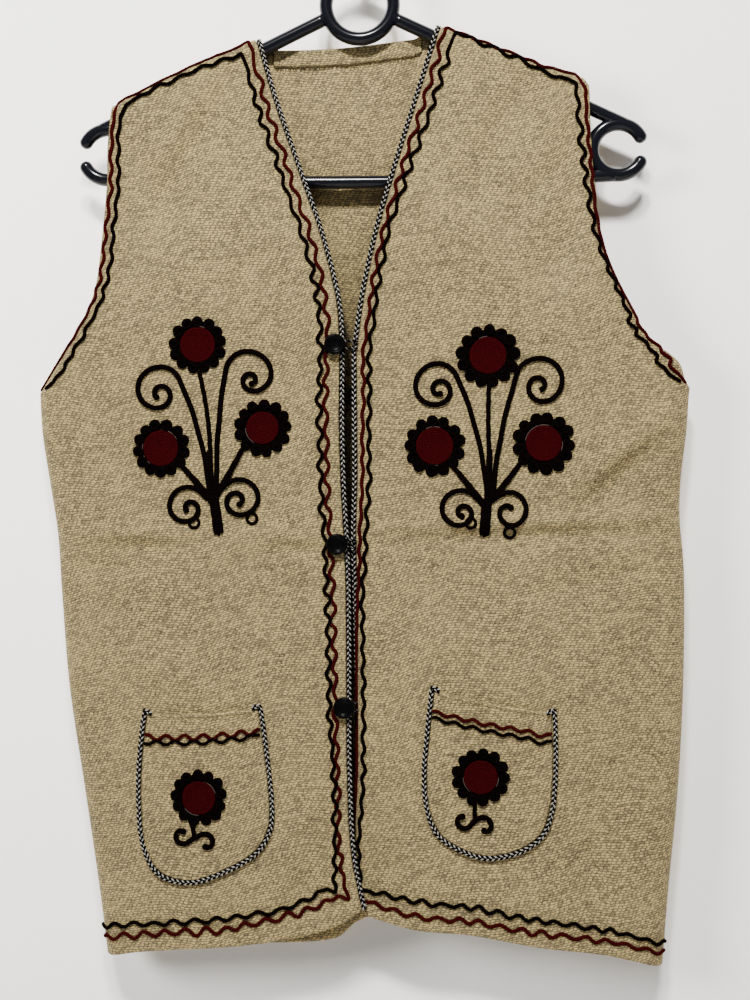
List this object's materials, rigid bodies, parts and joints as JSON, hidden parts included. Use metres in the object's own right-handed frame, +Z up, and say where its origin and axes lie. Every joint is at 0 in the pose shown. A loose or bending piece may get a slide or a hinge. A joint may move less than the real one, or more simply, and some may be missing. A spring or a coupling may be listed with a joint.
{
  "type": "embroidered wool folk vest on a plastic clothes hanger",
  "caption": "Embroidered wool folk vest with patch pockets, black and white cord edging and round buttons, hung on a black plastic clothes hanger",
  "frame": {"origin": "inside top of the hanger's hook, where the rail touches it, in the middle of the hook's tube", "axes": "+Z up, +Y from the vest's fronts to its back, +X to the right of someone who looks at the fronts"},
  "size_m": [0.4808, 0.0519, 0.7998],
  "materials": {
    "wool": "natural beige wool twill, matt, slightly felted",
    "braid": "black and white braided cord with a small chevron",
    "button_black": "black dished button with a soft shine",
    "hanger_black": "smooth glossy black moulded plastic"
  },
  "bodies": {
    "root": {"back": "wool", "back_neck_hem": "wool", "front_left": "wool", "front_right": "wool", "pocket_left": "wool", "pocket_right": "wool", "braid_front_left": "braid", "braid_front_right": "braid", "braid_pocket_left": "braid", "braid_pocket_right": "braid", "loop_lower": "braid", "loop_middle": "braid", "loop_top": "braid", "button_lower": "button_black", "button_middle": "button_black", "button_top": "button_black", "hanger_arm_left": "hanger_black", "hanger_arm_right": "hanger_black", "hanger_bar": "hanger_black", "hanger_end_left": "hanger_black", "hanger_end_right": "hanger_black", "hanger_hook": "hanger_black", "hanger_neck_ring": "hanger_black"}
  },
  "joints": []
}
